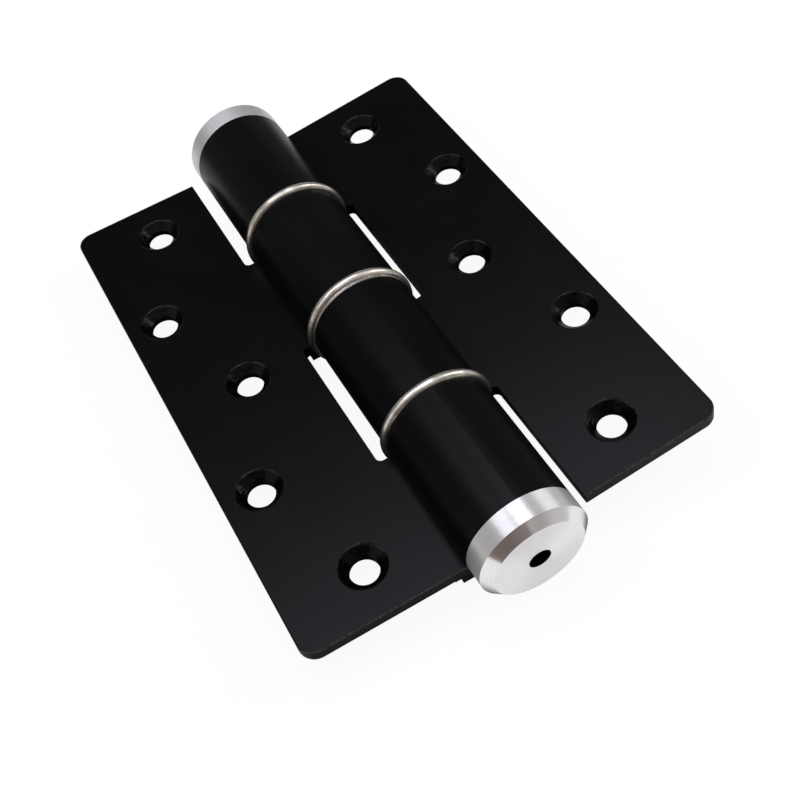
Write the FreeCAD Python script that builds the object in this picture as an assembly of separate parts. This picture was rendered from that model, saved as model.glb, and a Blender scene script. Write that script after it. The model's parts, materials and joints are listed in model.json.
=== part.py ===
import FreeCAD, Part
import math
import os

# Self-closing door hinge: two leaves whose knuckles interleave round one pin line.
# Inside the barrel a torsion spring closes the door and an oil damper slows it.
# Millimetres. Origin on the pin line at half the leaf length.
# +X points to the right leaf, +Y runs along the pin line to the plain cap, +Z is the countersunk side.
# Knuckles are counted from the plain cap: 1 and 3 belong to the right leaf, 2 and 4 to the left one.

V = FreeCAD.Vector
PIN_LINE = V(0, 1, 0)
ORIGIN = V(0, 0, 0)

# Leaves: length along the pin line, reach from the pin line to the outer edge
LEAF_LENGTH = 127.0
LEAF_REACH = 45.0
LEAF_THICK = 3.0
LEAF_DROP = 2.4
LEAF_CORNER = 3.5
EDGE_ROUND = 0.4
OPEN_TILT = 5.5
SLOT_GAP = 2.7
SLOT_CORNER = 1.2
ROOT_LIP = 1.1
ROOT_STEP = 1.9

# Screw holes, five to a leaf in a zigzag of two rows
HOLE_COUNT = 5
HOLE_END = 10.8
HOLE_EDGE = 8.1
HOLE_ROW_STEP = 9.45
HOLE_DIA = 6.0
SINK_DIA = 9.6
SINK_BREAK = 0.2
BREAK_SLOPE = 22.5

# Barrel
BARREL_R = 11.5
KNUCKLE_WALL = 2.0
BARREL_SHORT = 1.4
BARREL_OVER = 0.35
RING_WIDTH = 2.1
SHIM_WIDTH = 0.6
SHIM_PROUD = 0.25
END_PLAY = 0.05

# Clearances
RUN_GAP = 0.04
RING_GAP = 0.2
PIN_GAP = 0.1
AIR = 0.3

# Journals and bushes that carry one leaf on the other
BUSH_WALL = 1.0
CYLINDER_JOURNAL = 11.7
PIVOT_JOURNAL = 7.7
TUBE_JOURNAL = 16.0

# End caps
CAP_BAND = 4.65
CAP_BEVEL = 1.9
CAP_SPIGOT = 3.5
KEY_HOLE_R = 2.3

# Helical cam: the shaft turns half a turn and draws the piston along by half the lead
CAM_LEAD = 14.0
CAM_DEPTH = 1.2
PIN_R = 1.4
PIN_INSET = 2.2
SHAFT_MARGIN = 0.7
DRIVE_LENGTH = 8.7

# Damper cylinder and piston
CYLINDER_WALL = 1.5
HEAD_LENGTH = 4.0
HEAD_MARGIN = 1.0
KEYWAY_DEPTH = 0.8
PISTON_LAND = 4.0
PISTON_CROWN = 3.5
PISTON_WALL = 1.7
SKIRT_GAP = 0.7
SEAL_WIDTH = 1.6
SEAL_DEPTH = 0.8

# Valves and oil ways
PLUG_LENGTH = 7.2
BYPASS_WIDTH = 1.2
BYPASS_DEPTH = 0.8
PORT_R = 0.5
VALVE_R = 2.8
VALVE_LENGTH = 4.4
VALVE_HEX = 2.5
VALVE_HEX_DEPTH = 2.0
VALVE_CONE = 1.5
ORIFICE_R = 0.75
BALL_R = 1.2
CLIP_THICK = 0.5
CLIP_WALL = 0.8

# Closing spring of square wire, its tube and its anchors
WIRE = 3.2
COIL_GAP = 0.4
COIL_SPACE = 1.5
LEG_LENGTH = 4.5
LEG_EASE = 0.25
TUBE_WALL = 1.0
PIVOT_LENGTH = 11.2
ANCHOR_GAP = 2.0

# Radii that follow from the sizes above
BORE_R = BARREL_R - KNUCKLE_WALL
JOURNAL_R = BORE_R - BUSH_WALL
CYLINDER_R = JOURNAL_R - CYLINDER_WALL
KEYWAY_R = CYLINDER_R + KEYWAY_DEPTH
SHAFT_R = CYLINDER_R - SKIRT_GAP - PISTON_WALL - PIN_GAP
TUBE_R = JOURNAL_R - TUBE_WALL
COIL_R = TUBE_R - COIL_GAP - WIRE / 2
MANDREL_R = COIL_R - WIRE / 2 - COIL_GAP
SLOT_EDGE = BARREL_R + SLOT_GAP
ROOT_EDGE = BARREL_R + ROOT_LIP
BEAD_R = RING_WIDTH / 2

# Leaf faces
LEAF_HALF = LEAF_LENGTH / 2
LEAF_TOP = -LEAF_DROP
LEAF_LOW = LEAF_TOP - LEAF_THICK

# Stack along the pin line, from the valve end to the plain end
RINGS = 3 * RING_WIDTH + SHIM_WIDTH + 7 * END_PLAY
KNUCKLE = (LEAF_LENGTH + BARREL_OVER - BARREL_SHORT - RINGS) / 4
K4_NEAR = -LEAF_HALF - BARREL_OVER
K4_FAR = K4_NEAR + KNUCKLE
RING3 = K4_FAR + END_PLAY
K3_NEAR = RING3 + RING_WIDTH + END_PLAY
K3_FAR = K3_NEAR + KNUCKLE
SHIM = K3_FAR + END_PLAY
RING2 = SHIM + SHIM_WIDTH + END_PLAY
K2_NEAR = RING2 + RING_WIDTH + END_PLAY
K2_FAR = K2_NEAR + KNUCKLE
RING1 = K2_FAR + END_PLAY
K1_NEAR = RING1 + RING_WIDTH + END_PLAY
K1_FAR = K1_NEAR + KNUCKLE

# Damper, counted from the valve cap inwards
CYL_NEAR = K4_NEAR + CAP_SPIGOT + AIR
CYL_FAR = K4_FAR + CYLINDER_JOURNAL
CHAMBER_NEAR = CYL_NEAR + PLUG_LENGTH
CHAMBER_FAR = CYL_FAR - HEAD_LENGTH
STROKE = CAM_LEAD / 2
FLAT_SHIFT = CAM_LEAD * OPEN_TILT / 360
SKIRT_END = CHAMBER_FAR - HEAD_MARGIN - FLAT_SHIFT
PIN_Y = SKIRT_END - PIN_INSET
SHAFT_END = PIN_Y - STROKE - PIN_R
CUP_FLOOR = SHAFT_END - SHAFT_MARGIN
PISTON_FACE = CUP_FLOOR - PISTON_CROWN
LAND_END = PISTON_FACE + PISTON_LAND
DRIVE_NEAR = CYL_FAR + AIR
VALVE_FACE = CYL_NEAR + AIR
VALVE_TIP = VALVE_FACE + VALVE_LENGTH
PORT_Y = VALVE_TIP + PORT_R
BYPASS_FAR = K4_FAR - BYPASS_WIDTH
BALL_Y = PISTON_FACE + CLIP_THICK + BALL_R
BALL_SEAT = BALL_Y + math.sqrt(BALL_R ** 2 - ORIFICE_R ** 2)

# Seals, each at the middle of its groove
HEAD_SEAL = CHAMBER_FAR + HEAD_LENGTH / 2
PLUG_SEAL = CYL_NEAR + SEAL_WIDTH
VALVE_SEAL = VALVE_TIP - SEAL_WIDTH
PISTON_SEAL = PISTON_FACE + PISTON_LAND / 2
VALVE_GROOVE_R = VALVE_R - SEAL_DEPTH / 2

# Spring, from knuckle 2 into knuckle 1
PIVOT_NEAR = K3_FAR - PIVOT_JOURNAL
PIVOT_FAR = K2_NEAR + PIVOT_LENGTH
TUBE_NEAR = PIVOT_FAR + AIR
TUBE_FAR = K1_NEAR + TUBE_JOURNAL
ANCHOR_NEAR = TUBE_FAR + ANCHOR_GAP
ANCHOR_FAR = K1_FAR - CAP_SPIGOT - AIR
COIL_NEAR = PIVOT_FAR + AIR + WIRE / 2
COIL_FAR = ANCHOR_NEAR - AIR - WIRE / 2
COIL_PITCH = WIRE + COIL_SPACE
COIL_ANGLE = 360 * (COIL_FAR - COIL_NEAR) / COIL_PITCH
LEG_ANGLE = math.degrees(WIRE / (2 * COIL_R))


def rod(y0, y1, r):
    """Cylinder on the pin line from y0 to y1."""
    return Part.makeCylinder(r, y1 - y0, V(0, y0, 0), PIN_LINE)


def tube(y0, y1, r_out, r_in):
    return rod(y0, y1, r_out).cut(rod(y0, y1, r_in))


def block(x0, x1, y0, y1, z0, z1):
    return Part.makeBox(x1 - x0, y1 - y0, z1 - z0, V(x0, y0, z0))


def spun(wire):
    """Solid of revolution about the pin line."""
    return Part.Face(wire).revolve(ORIGIN, PIN_LINE, 360)


def bar(y, r0, r1, r, turn):
    """Small round bar that points straight out from the pin line."""
    piece = Part.makeCylinder(r, r1 - r0, V(r0, y, 0), V(1, 0, 0))
    return piece.rotate(ORIGIN, PIN_LINE, turn)


def groove_span(y):
    return y - SEAL_WIDTH / 2, y + SEAL_WIDTH / 2


def seal(y, r_out, r_in):
    y0, y1 = groove_span(y)
    return tube(y0, y1, r_out, r_in)


def screw_hole(x, y):
    """Through hole with a ninety-degree countersink, its upper edge broken by a flatter cone."""
    rim = SINK_DIA / 2
    depth = rim - HOLE_DIA / 2
    fall = 2 * SINK_BREAK * math.tan(math.radians(BREAK_SLOPE))
    drill = Part.makeCylinder(HOLE_DIA / 2, LEAF_THICK, V(x, y, LEAF_LOW))
    sink = Part.makeCone(HOLE_DIA / 2, rim, depth, V(x, y, LEAF_TOP - depth))
    edge = Part.makeCone(rim - SINK_BREAK, rim + SINK_BREAK, fall, V(x, y, LEAF_TOP - fall))
    return drill.fuse(sink).fuse(edge)


def slot_corner(y, away):
    """Rounded inside corner between the plate's slot edge and the end of a root."""
    r = SLOT_CORNER
    y0, y1 = sorted((y, y + away * r))
    corner = block(SLOT_EDGE - r, SLOT_EDGE, y0, y1, LEAF_LOW, LEAF_TOP)
    return corner.cut(Part.makeCylinder(r, LEAF_THICK, V(SLOT_EDGE - r, y + away * r, LEAF_LOW)))


def plate():
    """Flat of the leaf, with round corners and a small round along its outer edges."""
    shape = block(SLOT_EDGE, LEAF_REACH, -LEAF_HALF, LEAF_HALF, LEAF_LOW, LEAF_TOP)
    corners = [e for e in shape.Edges if e.BoundBox.XMin > SLOT_EDGE + AIR and e.BoundBox.ZLength > AIR]
    shape = shape.makeFillet(LEAF_CORNER, corners)
    rim = [e for e in shape.Edges if e.BoundBox.XMax > SLOT_EDGE + AIR and e.BoundBox.ZLength < AIR]
    return shape.makeFillet(EDGE_ROUND, rim)


def knuckle(y0, y1, root_start, root_end):
    """One knuckle from y0 to y1 with the thickened root that ties it to the plate."""
    root = block(0, SLOT_EDGE, root_start, root_end, LEAF_LOW, LEAF_TOP)
    top = [e for e in root.Edges if e.BoundBox.ZMin > LEAF_TOP - AIR]
    leaf_end = [e for e in top if abs(abs(e.CenterOfMass.y) - LEAF_HALF) < AIR]
    if leaf_end:
        root = root.makeFillet(EDGE_ROUND, leaf_end)
    root = root.fuse(block(0, ROOT_EDGE, root_start, root_end, LEAF_LOW - ROOT_STEP, LEAF_LOW))
    if root_end > y1:
        root = root.cut(rod(y1, root_end, BARREL_R + AIR))
    piece = root.fuse(rod(y0, y1, BARREL_R))
    if root_start > -LEAF_HALF:
        piece = piece.fuse(slot_corner(root_start, -1))
    if root_end < LEAF_HALF:
        piece = piece.fuse(slot_corner(root_end, 1))
    return piece


def leaf(knuckles):
    """Plate, roots and knuckles in one piece, drawn on the +X side."""
    body = plate()
    for span in knuckles:
        body = body.fuse(knuckle(*span))
    body = body.cut(rod(-LEAF_LENGTH, LEAF_LENGTH, BORE_R))
    pitch = (LEAF_LENGTH - 2 * HOLE_END) / (HOLE_COUNT - 1)
    for k in range(HOLE_COUNT):
        x = LEAF_REACH - HOLE_EDGE - (HOLE_ROW_STEP if k % 2 == 0 else 0)
        body = body.cut(screw_hole(x, k * pitch + HOLE_END - LEAF_HALF))
    return body


def leaf_left():
    shape = leaf([(K4_NEAR, K4_FAR, -LEAF_HALF, K4_FAR), (K2_NEAR, K2_FAR, K2_NEAR, K2_FAR)])
    return shape.mirror(ORIGIN, V(1, 0, 0))


def leaf_right():
    """The moving leaf, lifted from flat by the tilt at which the hinge lies open."""
    shape = leaf([(K3_NEAR, K3_FAR, K3_NEAR, K3_FAR), (K1_NEAR, K1_FAR, K1_NEAR, LEAF_HALF)])
    return shape.rotate(ORIGIN, PIN_LINE, -OPEN_TILT)


def ring(y):
    """Thrust washer whose half-round bead stands proud of the knuckles."""
    hole = JOURNAL_R + RING_GAP
    far = y + RING_WIDTH
    crest = V(BARREL_R + BEAD_R, y + BEAD_R, 0)
    bead = Part.Arc(V(BARREL_R, y, 0), crest, V(BARREL_R, far, 0)).toShape()
    sides = Part.makePolygon([V(BARREL_R, far, 0), V(hole, far, 0), V(hole, y, 0), V(BARREL_R, y, 0)])
    return spun(Part.Wire([bead] + sides.Edges))


def cap(end, out):
    """Turned cap with a bevelled face, pressed into the knuckle's bore by its spigot."""
    spigot = end - out * CAP_SPIGOT
    band = end + out * CAP_BAND
    face = band + out * CAP_BEVEL
    inside = [V(0, spigot, 0), V(BORE_R, spigot, 0), V(BORE_R, end, 0), V(BARREL_R, end, 0)]
    outside = [V(BARREL_R, band, 0), V(BARREL_R - CAP_BEVEL, face, 0), V(0, face, 0), V(0, spigot, 0)]
    return spun(Part.makePolygon(inside + outside))


def cap_valve():
    """Cap with the hole through which a key turns the speed valve."""
    return cap(K4_NEAR, -1).cut(rod(K4_NEAR - CAP_BAND - CAP_BEVEL, CYL_NEAR, KEY_HOLE_R))


def damper_cylinder():
    """Pressed into knuckle 4; its slim end is the journal on which knuckle 3 turns."""
    body = rod(CYL_NEAR, K4_FAR, BORE_R).fuse(rod(K4_FAR, CYL_FAR, JOURNAL_R))
    body = body.cut(rod(CYL_NEAR, CHAMBER_FAR, CYLINDER_R))
    body = body.cut(rod(CHAMBER_FAR, CYL_FAR, SHAFT_R + RUN_GAP))
    y0, y1 = groove_span(HEAD_SEAL)
    body = body.cut(rod(y0, y1, SHAFT_R + SEAL_DEPTH))
    key = PIN_R + RUN_GAP
    keyway = block(-KEYWAY_R, KEYWAY_R, SHAFT_END - PIN_R, PIN_Y + FLAT_SHIFT + PIN_R + AIR, -key, key)
    body = body.cut(keyway)
    half = BYPASS_WIDTH / 2
    body = body.cut(block(-half, half, PORT_Y - half, BYPASS_FAR + half, BORE_R - BYPASS_DEPTH, BORE_R))
    for y in (PORT_Y, BYPASS_FAR):
        body = body.cut(bar(y, SHAFT_R, BORE_R, PORT_R, -90))
    return body


def cylinder_plug():
    """Closes the cylinder; the valve's seat and the port to the bypass are in it."""
    body = rod(CYL_NEAR, CHAMBER_NEAR, CYLINDER_R)
    body = body.cut(seal(PLUG_SEAL, CYLINDER_R, CYLINDER_R - SEAL_DEPTH))
    half = BYPASS_WIDTH / 2
    body = body.cut(tube(PORT_Y - half, PORT_Y + half, CYLINDER_R, CYLINDER_R - BYPASS_DEPTH))
    body = body.cut(rod(CYL_NEAR, PORT_Y + half, VALVE_R))
    body = body.cut(bar(PORT_Y, 0, CYLINDER_R, PORT_R, -90))
    return body.cut(rod(PORT_Y, CHAMBER_NEAR, ORIFICE_R))


def speed_valve():
    """Adjusting screw: hex socket behind the key hole, cone at the orifice."""
    shank = VALVE_R - RUN_GAP
    cone = Part.makeCone(shank / 2, 0, VALVE_CONE, V(0, VALVE_TIP, 0), PIN_LINE)
    body = rod(VALVE_FACE, VALVE_TIP, shank).fuse(cone)
    corner = VALVE_HEX / math.sqrt(3)
    turns = [math.radians(60 * k) for k in range(7)]
    hexagon = Part.makePolygon([V(corner * math.cos(a), VALVE_FACE, corner * math.sin(a)) for a in turns])
    body = body.cut(Part.Face(hexagon).extrude(PIN_LINE * VALVE_HEX_DEPTH))
    return body.cut(seal(VALVE_SEAL, VALVE_R, VALVE_GROOVE_R))


def cam_groove():
    """Left-hand helical bar that cuts one groove; it runs out at the shaft's free end."""
    mid = SHAFT_R - CAM_DEPTH / 2
    start = SHAFT_END - 2 * PIN_R
    slope = math.atan(CAM_LEAD / (2 * math.pi * mid))
    side = V(0, math.sin(slope), math.cos(slope)) * (PIN_R + PIN_GAP)
    floor = V(SHAFT_R - CAM_DEPTH, 0, 0)
    mouth = V(SHAFT_R + CAM_DEPTH, 0, 0)
    section = Part.makePolygon([floor - side, mouth - side, mouth + side, floor + side, floor - side])
    helix = Part.makeHelix(CAM_LEAD, PIN_Y + FLAT_SHIFT - start, mid, 0, True)
    groove = Part.Wire(helix.Edges).makePipeShell([section], True, True)
    groove.rotate(ORIGIN, V(0, 0, 1), 360 * (PIN_Y - start) / CAM_LEAD)
    groove.translate(V(0, 0, start))
    return groove.rotate(ORIGIN, V(1, 0, 0), -90)


def cam_shaft():
    """Fixed in knuckle 3 by its drive head; each helical groove ends in a drilled pocket."""
    body = rod(SHAFT_END, DRIVE_NEAR, SHAFT_R)
    groove = cam_groove()
    floor = SHAFT_R - CAM_DEPTH - PIN_GAP
    for turn in (0, 180):
        body = body.cut(groove.copy().rotate(ORIGIN, PIN_LINE, turn))
        body = body.cut(bar(PIN_Y + FLAT_SHIFT, floor, BORE_R, PIN_R + 2 * PIN_GAP, turn - OPEN_TILT))
    return body.fuse(rod(DRIVE_NEAR, DRIVE_NEAR + DRIVE_LENGTH, BORE_R))


def piston():
    """Cup round the cam shaft; the land at its crown parts the two oil chambers."""
    body = rod(PISTON_FACE, LAND_END, CYLINDER_R - RUN_GAP)
    body = body.fuse(rod(LAND_END, SKIRT_END, CYLINDER_R - SKIRT_GAP))
    body = body.cut(rod(CUP_FLOOR, SKIRT_END, SHAFT_R + PIN_GAP))
    body = body.cut(seal(PISTON_SEAL, CYLINDER_R, CYLINDER_R - SEAL_DEPTH))
    for turn in (0, 180):
        body = body.cut(bar(PIN_Y, SHAFT_R - PIN_R, CYLINDER_R, PIN_R, turn))
    body = body.cut(rod(PISTON_FACE, BALL_SEAT, BALL_R + AIR))
    return body.cut(rod(PISTON_FACE, CUP_FLOOR, ORIFICE_R))


def follower_pin(turn):
    """Pin set in the piston: inner end in the cam groove, outer end in the cylinder's keyway."""
    return bar(PIN_Y, SHAFT_R - CAM_DEPTH + PIN_GAP, KEYWAY_R - PIN_GAP, PIN_R, turn)


def centre_pivot():
    """Pressed into knuckle 2: journal for knuckle 3, spring anchor and spring mandrel."""
    body = rod(PIVOT_NEAR, K2_NEAR, JOURNAL_R).fuse(rod(K2_NEAR, PIVOT_FAR, BORE_R))
    body = body.fuse(rod(PIVOT_FAR, ANCHOR_NEAR - AIR, MANDREL_R))
    return body.cut(spring_leg(COIL_NEAR, COIL_NEAR - LEG_LENGTH - AIR, RUN_GAP, LEG_ANGLE))


def spring_leg(y0, y1, gap, turn):
    """Straight ground end of the spring's wire, or with a gap the socket that holds it."""
    half = WIRE / 2 - LEG_EASE + gap
    low, high = sorted((y0, y1))
    return block(COIL_R - half, COIL_R + half, low, high, -half, half).rotate(ORIGIN, PIN_LINE, turn)


def closing_spring():
    """Torsion spring of square wire with a straight leg at each end."""
    slope = math.atan(COIL_PITCH / (2 * math.pi * COIL_R))
    side = V(0, -math.sin(slope), math.cos(slope)) * (WIRE / 2)
    inner = V(COIL_R - WIRE / 2, 0, 0)
    outer = V(COIL_R + WIRE / 2, 0, 0)
    section = Part.makePolygon([inner - side, outer - side, outer + side, inner + side, inner - side])
    helix = Part.makeHelix(COIL_PITCH, COIL_FAR - COIL_NEAR, COIL_R)
    coil = Part.Wire(helix.Edges).makePipeShell([section], True, True)
    coil.translate(V(0, 0, COIL_NEAR))
    coil.rotate(ORIGIN, V(1, 0, 0), -90)
    coil = coil.fuse(spring_leg(COIL_NEAR, COIL_NEAR - LEG_LENGTH, 0, LEG_ANGLE))
    return coil.fuse(spring_leg(COIL_FAR, COIL_FAR + LEG_LENGTH, 0, COIL_ANGLE - LEG_ANGLE))


def spring_tube():
    """Pressed into knuckle 2; its slim end is the journal on which knuckle 1 turns."""
    body = rod(TUBE_NEAR, K2_FAR, BORE_R).fuse(rod(K2_FAR, TUBE_FAR, JOURNAL_R))
    return body.cut(rod(TUBE_NEAR, TUBE_FAR, TUBE_R))


def spring_anchor():
    """Plug pressed into knuckle 1 that holds the spring's other leg."""
    body = rod(ANCHOR_NEAR, ANCHOR_FAR, BORE_R)
    return body.cut(spring_leg(COIL_FAR, COIL_FAR + LEG_LENGTH + AIR, RUN_GAP, COIL_ANGLE - LEG_ANGLE))


def bush(y0, y1):
    return tube(y0, y1, BORE_R, JOURNAL_R + RUN_GAP)


nodes = {
    "leaf_left": leaf_left(),
    "leaf_right": leaf_right(),
    "ring_far": ring(RING1),
    "ring_mid": ring(RING2),
    "ring_near": ring(RING3),
    "shim_mid": tube(SHIM, SHIM + SHIM_WIDTH, BARREL_R + SHIM_PROUD, JOURNAL_R + RING_GAP),
    "cap_plain": cap(K1_FAR, 1),
    "cap_valve": cap_valve(),
    "damper_cylinder": damper_cylinder(),
    "cylinder_plug": cylinder_plug(),
    "speed_valve": speed_valve(),
    "cam_shaft": cam_shaft(),
    "piston": piston(),
    "follower_pin_a": follower_pin(0),
    "follower_pin_b": follower_pin(180),
    "check_ball": Part.makeSphere(BALL_R, V(0, BALL_Y, 0)),
    "check_clip": tube(PISTON_FACE, PISTON_FACE + CLIP_THICK, BALL_R + AIR, BALL_R + AIR - CLIP_WALL),
    "shaft_seal": seal(HEAD_SEAL, SHAFT_R + SEAL_DEPTH, SHAFT_R + RUN_GAP),
    "piston_seal": seal(PISTON_SEAL, CYLINDER_R - RUN_GAP, CYLINDER_R - SEAL_DEPTH),
    "plug_seal": seal(PLUG_SEAL, CYLINDER_R, CYLINDER_R - SEAL_DEPTH),
    "valve_seal": seal(VALVE_SEAL, VALVE_R - RUN_GAP, VALVE_GROOVE_R),
    "centre_pivot": centre_pivot(),
    "spring_tube": spring_tube(),
    "closing_spring": closing_spring(),
    "spring_anchor": spring_anchor(),
    "bush_far": bush(K1_NEAR, TUBE_FAR),
    "bush_mid": bush(PIVOT_NEAR, K3_FAR),
    "bush_near": bush(K3_NEAR, CYL_FAR),
}

os.makedirs("parts", exist_ok=True)
for name, shape in nodes.items():
    shape.removeSplitter().exportStep("parts/" + name + ".step")
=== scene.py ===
# %% [markdown]
# A self-closing door hinge, dressed for its portrait
# The solids of the hinge come from its CAD source, already in place and in metres. This
# notebook keeps those shapes, gives every one of them a finish, redraws the five pieces that
# are bent or pressed on the real hinge, and sets up a small photo studio round it.

# %% Load the solids
import json
import math

import bpy
import numpy as np
from mathutils import Matrix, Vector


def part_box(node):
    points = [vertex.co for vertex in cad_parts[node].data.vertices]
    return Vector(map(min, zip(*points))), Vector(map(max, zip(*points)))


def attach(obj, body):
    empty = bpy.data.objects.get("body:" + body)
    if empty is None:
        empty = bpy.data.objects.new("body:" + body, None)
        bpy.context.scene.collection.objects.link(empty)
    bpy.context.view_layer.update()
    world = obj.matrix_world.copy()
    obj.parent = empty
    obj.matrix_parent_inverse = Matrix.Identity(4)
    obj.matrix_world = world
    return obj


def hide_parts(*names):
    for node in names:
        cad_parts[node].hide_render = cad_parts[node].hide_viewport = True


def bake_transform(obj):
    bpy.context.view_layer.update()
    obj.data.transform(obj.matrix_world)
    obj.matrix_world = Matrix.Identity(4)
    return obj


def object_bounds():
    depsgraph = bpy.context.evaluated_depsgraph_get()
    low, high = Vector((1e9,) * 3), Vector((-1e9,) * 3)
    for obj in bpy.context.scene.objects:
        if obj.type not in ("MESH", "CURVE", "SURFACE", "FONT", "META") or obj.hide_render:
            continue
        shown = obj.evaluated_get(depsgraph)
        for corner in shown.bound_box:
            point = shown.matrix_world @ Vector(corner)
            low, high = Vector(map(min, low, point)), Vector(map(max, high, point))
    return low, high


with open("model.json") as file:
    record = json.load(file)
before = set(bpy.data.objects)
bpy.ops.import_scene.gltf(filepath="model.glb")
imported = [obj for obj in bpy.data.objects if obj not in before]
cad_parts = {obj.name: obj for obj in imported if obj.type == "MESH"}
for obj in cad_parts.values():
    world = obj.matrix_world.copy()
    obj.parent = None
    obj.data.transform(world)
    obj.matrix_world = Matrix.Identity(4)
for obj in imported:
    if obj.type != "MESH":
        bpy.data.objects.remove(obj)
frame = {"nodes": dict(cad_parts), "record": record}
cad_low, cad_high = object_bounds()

MM = 0.001
print("box in mm:", [round((b - a) / MM, 2) for a, b in zip(cad_low, cad_high)])

# %% [markdown]
# The camera
# The camera stands where the photograph was taken from: above the end with the speed valve and
# a little to the left. It could be placed by eye, but a few pixels of error already show along
# the leaf edges, so its place and turn were worked out from the corners of the leaves and the
# centres of the screw holes. Blender's camera looks along its own -Z, so its turn is a matrix
# whose three columns are the picture's right, the picture's up and the way back to the camera.

# %% Camera
PICTURE_WIDTH = 800
FOCAL_PIXELS = 1161.553
CAMERA_PLACE_MM = np.array([-47.86, -159.33, 185.20])
LOOK = np.array([0.1889, 0.5767, -0.7948])
PICTURE_UP = np.array([0.4610, 0.6626, 0.5904])
NEAREST_SEEN_MM = 10

look = LOOK / np.linalg.norm(LOOK)
right = np.cross(look, PICTURE_UP)
right = right / np.linalg.norm(right)
turn = np.column_stack([right, np.cross(right, look), -look])

camera_data = bpy.data.cameras.new("camera")
camera_data.lens = camera_data.sensor_width * FOCAL_PIXELS / PICTURE_WIDTH
camera_data.clip_start = NEAREST_SEEN_MM * MM
camera = bpy.data.objects.new("camera", camera_data)
camera.matrix_world = Matrix.Translation(CAMERA_PLACE_MM * MM) @ Matrix(turn.tolist()).to_4x4()
bpy.context.collection.objects.link(camera)
bpy.context.scene.camera = camera
bpy.context.scene.view_settings.view_transform = "Standard"
distance = float(np.linalg.norm(CAMERA_PLACE_MM))
print("lens", round(camera_data.lens, 2), "mm, distance", round(distance), "mm")

# %% [markdown]
# Helpers for finishes
# A finish is a small network of shader nodes. It could be drawn in the node editor, but a
# script shows every number and can be run again. One function adds a node, sets what never
# changes and links what comes from other nodes. Another turns the hex colours that picture
# programs use into the linear light that the renderer adds up. The Mix node keeps sockets for
# every kind of data side by side, so the ones for numbers and colours get names here.

# %% Helpers for finishes
NUMBER_A, NUMBER_B, NUMBER_OUT = 2, 3, 0
COLOUR_A, COLOUR_B, COLOUR_OUT = 6, 7, 2


def linear(hex_colour):
    """sRGB hex to linear light: below 0.04045 divide by 12.92, above it a 2.4 power curve."""
    s = np.array([int(hex_colour[i:i + 2], 16) for i in (1, 3, 5)]) / 255
    rgb = np.where(s <= 0.04045, s / 12.92, ((s + 0.055) / 1.055) ** 2.4)
    return (*rgb.tolist(), 1.0)


def add(tree, kind, settings=None, links=None):
    """Adds one node: settings are its properties or inputs by name, links come from other nodes."""
    made = tree.nodes.new("ShaderNode" + kind)
    for name, value in (settings or {}).items():
        if isinstance(name, str) and hasattr(made, name):
            setattr(made, name, value)
        else:
            made.inputs[name].default_value = value
    for name, source in (links or {}).items():
        tree.links.new(source, made.inputs[name])
    return made


def new_finish(name):
    """An empty material and its node tree."""
    material = bpy.data.materials.new(name)
    material.use_nodes = True
    material.node_tree.nodes.clear()
    return material, material.node_tree


def per_metre(size_mm):
    """Scale of a pattern whose one cell has this size."""
    return 1 / (size_mm * MM)


def ramp(low, high):
    """Settings of a soft step: 0 at low, 1 at high, in an S-curve between them."""
    return {"interpolation_type": "SMOOTHSTEP", "From Min": low, "From Max": high}


print("black", linear("#101012")[:3])

# %% [markdown]
# The countersinks
# While the sprayed coat of the leaves was wet, it ran together in the countersinks, so it is smoother
# there and has drops that glint; the hollows are also coloured darker, as painted shade. Those places
# could be painted by hand, but a mask finds them by measure. The screw holes repeat along a leaf, so
# wrapping the lengthwise coordinate folds each row of holes onto one, and the distance from that one
# centre says how far out in a countersink a point is. The rows and their step come from the screw mounts in
# the record.

# %% Countersink mask
mounts = {row["name"]: row for row in frame["record"]["mounts"]}
HOLE_STEP_MM = mounts["left_screws_inner_near"]["dims"]["spacing_y_mm"]
INNER_ROW_MM = abs(mounts["left_screws_inner_near"]["pos_m"][0]) / MM
OUTER_ROW_MM = abs(mounts["left_screws_outer"]["pos_m"][0]) / MM
LEAF_BACK_MM = mounts["left_back"]["pos_m"][2] / MM
BACK_MARGIN_MM = 0.1
SINK_RADIUS_MM = 4.8
SINK_EDGE_MM = 0.20


def hole_distance(tree, across, along, row_mm, shift_mm):
    """Distance from the nearest hole of a row: the lengthwise coordinate wraps at half the hole step."""
    start = (shift_mm - HOLE_STEP_MM / 2) * MM
    wrap = {"operation": "WRAP", 1: start + HOLE_STEP_MM * MM, 2: start}
    folded = add(tree, "Math", wrap, {0: along})
    flat = add(tree, "CombineXYZ", {}, {"X": across, "Y": folded.outputs["Value"]})
    centre = (row_mm * MM, shift_mm * MM, 0)
    away = add(tree, "VectorMath", {"operation": "DISTANCE", 1: centre}, {0: flat.outputs["Vector"]})
    return away.outputs["Value"]


def countersinks(tree, parts):
    """1 inside a countersink, 0 elsewhere: a soft step on the nearer row's hole distance, off the back."""
    across = add(tree, "Math", {"operation": "ABSOLUTE"}, {0: parts.outputs["X"]}).outputs["Value"]
    inner = hole_distance(tree, across, parts.outputs["Y"], INNER_ROW_MM, 0)
    outer = hole_distance(tree, across, parts.outputs["Y"], OUTER_ROW_MM, HOLE_STEP_MM / 2)
    nearest = add(tree, "Math", {"operation": "MINIMUM"}, {0: inner, 1: outer}).outputs["Value"]
    over_rim = ramp((SINK_RADIUS_MM + SINK_EDGE_MM) * MM, SINK_RADIUS_MM * MM)
    hollow = add(tree, "MapRange", over_rim, {"Value": nearest})
    off_back = {"operation": "GREATER_THAN", 1: (LEAF_BACK_MM + BACK_MARGIN_MM) * MM}
    front = add(tree, "Math", off_back, {0: parts.outputs["Z"]})
    both = {0: hollow.outputs["Result"], 1: front.outputs["Value"]}
    return add(tree, "Math", {"operation": "MULTIPLY"}, both).outputs["Value"]


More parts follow.
